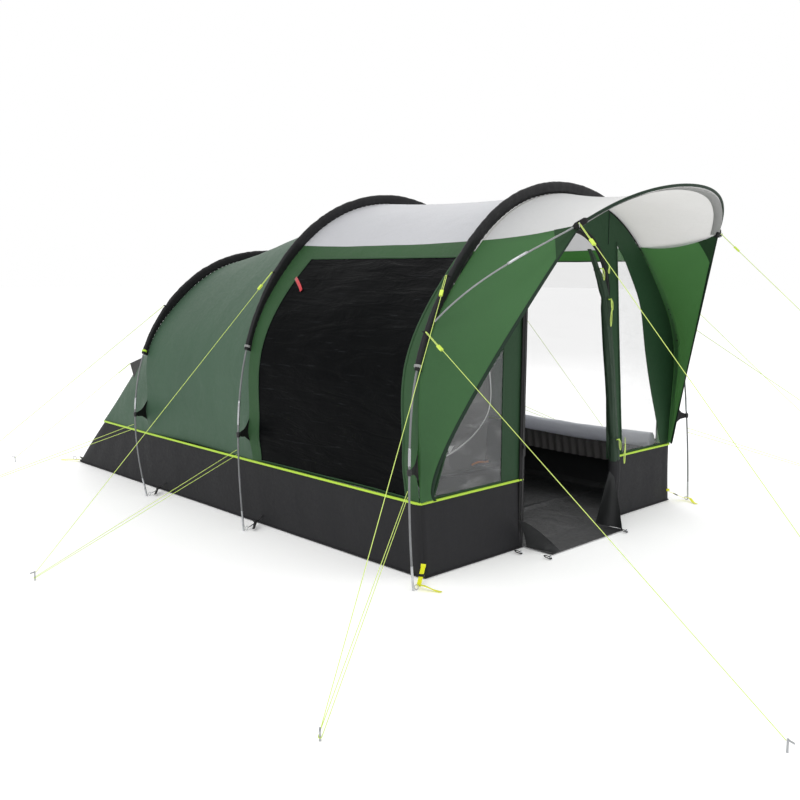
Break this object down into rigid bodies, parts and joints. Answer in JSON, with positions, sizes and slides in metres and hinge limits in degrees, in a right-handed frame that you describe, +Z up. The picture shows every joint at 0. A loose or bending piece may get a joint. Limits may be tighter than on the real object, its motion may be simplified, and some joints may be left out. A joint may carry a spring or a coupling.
{
  "type": "tunnel tent",
  "caption": "Family tunnel tent on bent poles, with a green fly, grey roof, spread front hood, door wings, side windows, dark mud wall and guy lines.",
  "frame": {"origin": "on the ground at the middle of the groundsheet", "axes": "+Z up, -Y out of the door, +X towards the side where the open door is rolled up"},
  "size_m": [4.708, 5.9556, 1.8411],
  "materials": {
    "pole_grey": "satin grey fibreglass",
    "hood_pole": "satin grey fibreglass",
    "steel": "zinc plated",
    "sleeve_black": "matt woven polyester",
    "hood_sleeve": "matt woven polyester",
    "roof_grey": "coated ripstop polyester",
    "hood_grey": "coated ripstop polyester, lets light through",
    "fly_green": "coated ripstop polyester",
    "front_green": "coated ripstop polyester",
    "wing_green": "coated ripstop polyester, lets light through",
    "side_film": "tinted clear film, looks black from outside",
    "front_film": "clear flexible film",
    "mud_grey": "coated polyester",
    "groundsheet": "laminated polyethylene weave",
    "flap_black": "laminated polyethylene weave",
    "door_roll": "rolled coated polyester",
    "toggle_lime": "moulded",
    "slider_black": "moulded",
    "blind_grey": "rolled coated polyester",
    "inner_dark": "breathable polyester",
    "strap_yellow": "woven webbing",
    "buckle_yellow": "moulded",
    "guy_lime": "reflective braided cord",
    "runner_lime": "moulded"
  },
  "bodies": {
    "tent": {"hoop_front": "pole_grey", "hoop_middle": "pole_grey", "hoop_rear": "pole_grey", "hood_pole": "hood_pole", "leg_tips": "steel", "foot_rings": "steel", "pegs": "steel", "sleeve_front": "sleeve_black", "sleeve_middle": "sleeve_black", "sleeve_rear": "sleeve_black", "hood_sleeve": "hood_sleeve", "roof_panel": "roof_grey", "hood_canopy": "hood_grey", "side_wall_left": "fly_green", "side_wall_right": "fly_green", "bedroom_panel": "fly_green", "rear_panel": "fly_green", "front_wall": "front_green", "wing_left": "wing_green", "wing_right": "wing_green", "side_windows": "side_film", "front_windows": "front_film", "mud_walls": "mud_grey", "groundsheet": "groundsheet", "door_roll": "door_roll", "door_toggles": "toggle_lime", "window_blinds": "blind_grey", "inner_body": "inner_dark", "inner_front": "inner_dark", "foot_straps": "strap_yellow", "guy_front_upper_left": "guy_lime", "guy_front_upper_right": "guy_lime", "guy_front_lower_left": "guy_lime", "guy_front_lower_right": "guy_lime", "guy_hood_left": "guy_lime", "guy_hood_right": "guy_lime", "guy_middle_upper_left": "guy_lime", "guy_middle_upper_right": "guy_lime", "guy_rear_upper_left": "guy_lime", "guy_rear_upper_right": "guy_lime", "guy_tail_left": "guy_lime", "guy_tail_right": "guy_lime", "guy_front_leg_left": "guy_lime", "guy_front_leg_right": "guy_lime", "guy_middle_leg_left": "guy_lime", "guy_middle_leg_right": "guy_lime", "guy_rear_leg_left": "guy_lime", "guy_rear_leg_right": "guy_lime"},
    "runner_front_upper_left": {"runner_front_upper_left": "runner_lime"},
    "runner_front_upper_right": {"runner_front_upper_right": "runner_lime"},
    "runner_front_lower_left": {"runner_front_lower_left": "runner_lime"},
    "runner_front_lower_right": {"runner_front_lower_right": "runner_lime"},
    "runner_hood_left": {"runner_hood_left": "runner_lime"},
    "runner_hood_right": {"runner_hood_right": "runner_lime"},
    "runner_middle_upper_left": {"runner_middle_upper_left": "runner_lime"},
    "runner_middle_upper_right": {"runner_middle_upper_right": "runner_lime"},
    "flap": {"threshold_flap": "flap_black"},
    "zip_slider": {"door_slider": "slider_black"},
    "strap_buckle_left": {"strap_buckle_left": "buckle_yellow"},
    "strap_buckle_right": {"strap_buckle_right": "buckle_yellow"}
  },
  "joints": [
    {"name": "runner_front_upper_left_slide", "type": "slide", "parent": "tent", "child": "runner_front_upper_left", "axis": [-0.6638, -0.3864, -0.6403], "range_m": [-0.07, 0.3]},
    {"name": "runner_front_upper_right_slide", "type": "slide", "parent": "tent", "child": "runner_front_upper_right", "axis": [0.6638, -0.3864, -0.6403], "range_m": [-0.07, 0.3]},
    {"name": "runner_front_lower_left_slide", "type": "slide", "parent": "tent", "child": "runner_front_lower_left", "axis": [-0.1362, -0.8417, -0.5225], "range_m": [-0.07, 0.3]},
    {"name": "runner_front_lower_right_slide", "type": "slide", "parent": "tent", "child": "runner_front_lower_right", "axis": [0.1362, -0.8417, -0.5225], "range_m": [-0.07, 0.3]},
    {"name": "runner_hood_left_slide", "type": "slide", "parent": "tent", "child": "runner_hood_left", "axis": [-0.168, -0.705, -0.689], "range_m": [-0.07, 0.3]},
    {"name": "runner_hood_right_slide", "type": "slide", "parent": "tent", "child": "runner_hood_right", "axis": [0.168, -0.705, -0.689], "range_m": [-0.07, 0.3]},
    {"name": "runner_middle_upper_left_slide", "type": "slide", "parent": "tent", "child": "runner_middle_upper_left", "axis": [-0.7211, -0.0547, -0.6906], "range_m": [-0.07, 0.3]},
    {"name": "runner_middle_upper_right_slide", "type": "slide", "parent": "tent", "child": "runner_middle_upper_right", "axis": [0.7211, -0.0547, -0.6906], "range_m": [-0.07, 0.3]},
    {"name": "threshold_flap_fold", "type": "hinge", "parent": "tent", "child": "flap", "pos_m": [-0.02, -1.798, 0.0025], "axis": [-1, 0, 0], "range_deg": [0, 80]},
    {"name": "door_zip_slide", "type": "slide", "parent": "tent", "child": "zip_slider", "axis": [0, 0, 1], "range_m": [-0.43, 0.7]},
    {"name": "strap_buckle_left_slide", "type": "slide", "parent": "tent", "child": "strap_buckle_left", "axis": [-0.7532, -0.5183, -0.4049], "range_m": [-0.03, 0.04]},
    {"name": "strap_buckle_right_slide", "type": "slide", "parent": "tent", "child": "strap_buckle_right", "axis": [0.7532, -0.5183, -0.4049], "range_m": [-0.03, 0.04]}
  ]
}
